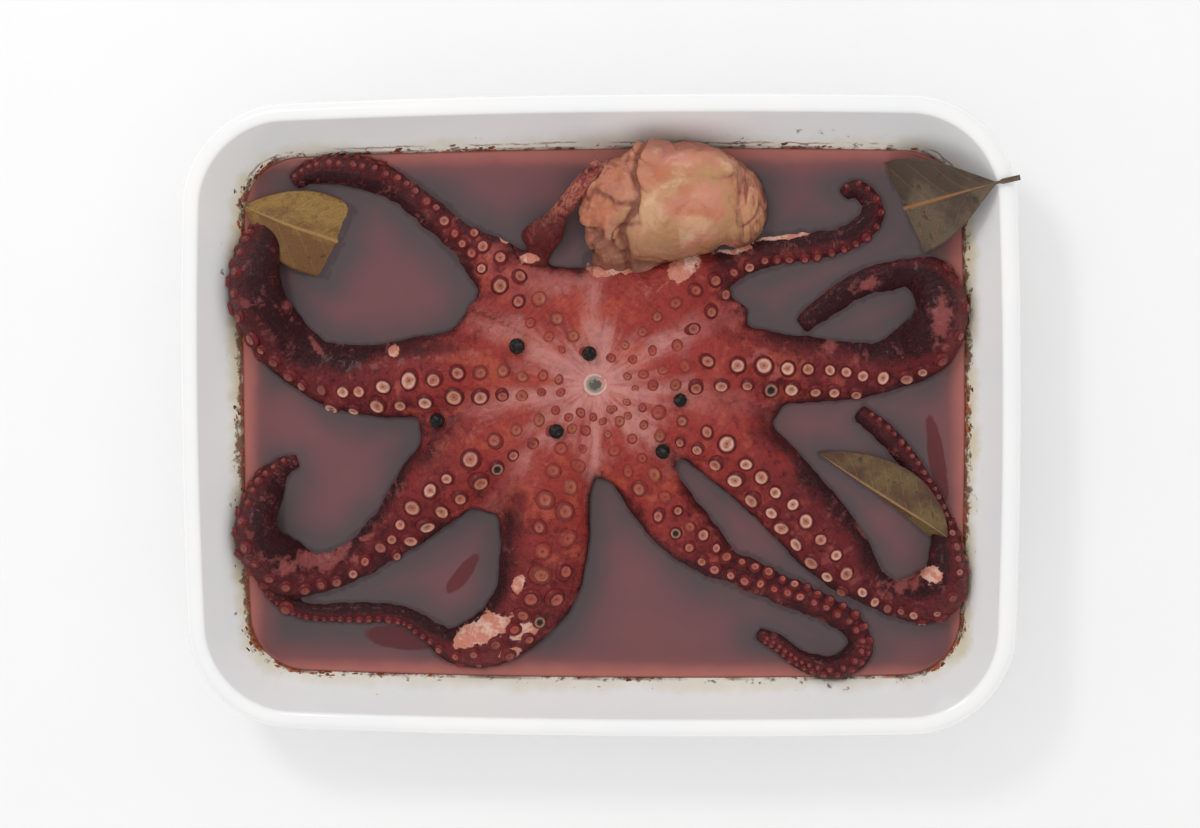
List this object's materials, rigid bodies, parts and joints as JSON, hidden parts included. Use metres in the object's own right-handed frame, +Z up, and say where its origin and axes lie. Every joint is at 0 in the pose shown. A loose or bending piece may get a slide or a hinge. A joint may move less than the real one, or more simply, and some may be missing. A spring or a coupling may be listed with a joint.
{
  "type": "cooked octopus in a roasting tin",
  "caption": "Whole cooked octopus on its back in a shallow enamelled tin of dark broth, arms curled along the walls, with bay leaves and peppercorns.",
  "frame": {"origin": "middle of the tin's flat base, on the surface it stands on", "axes": "+X along the tin, +Y towards the wall that the mantle leans on, +Z up out of the tin"},
  "size_m": [0.32, 0.244, 0.0478],
  "materials": {
    "enamel": "glossy white vitreous enamel on steel, with burnt-on brown residue above the broth",
    "broth": "still, opaque mauve-brown cooking liquid with a glossy surface",
    "octopus": "moist cooked skin, from pale pink at the mouth through crimson to maroon at the tips",
    "bay_leaf": "olive-brown cooked bay leaf, satin",
    "peppercorn": "matt black wrinkled peppercorn"
  },
  "bodies": {
    "root": {"tin": "enamel", "broth": "broth", "octopus": "octopus", "bay_leaf_left": "bay_leaf", "bay_leaf_right": "bay_leaf", "bay_leaf_front": "bay_leaf", "peppercorn_1": "peppercorn", "peppercorn_2": "peppercorn", "peppercorn_3": "peppercorn", "peppercorn_4": "peppercorn", "peppercorn_5": "peppercorn", "peppercorn_6": "peppercorn"}
  },
  "joints": []
}
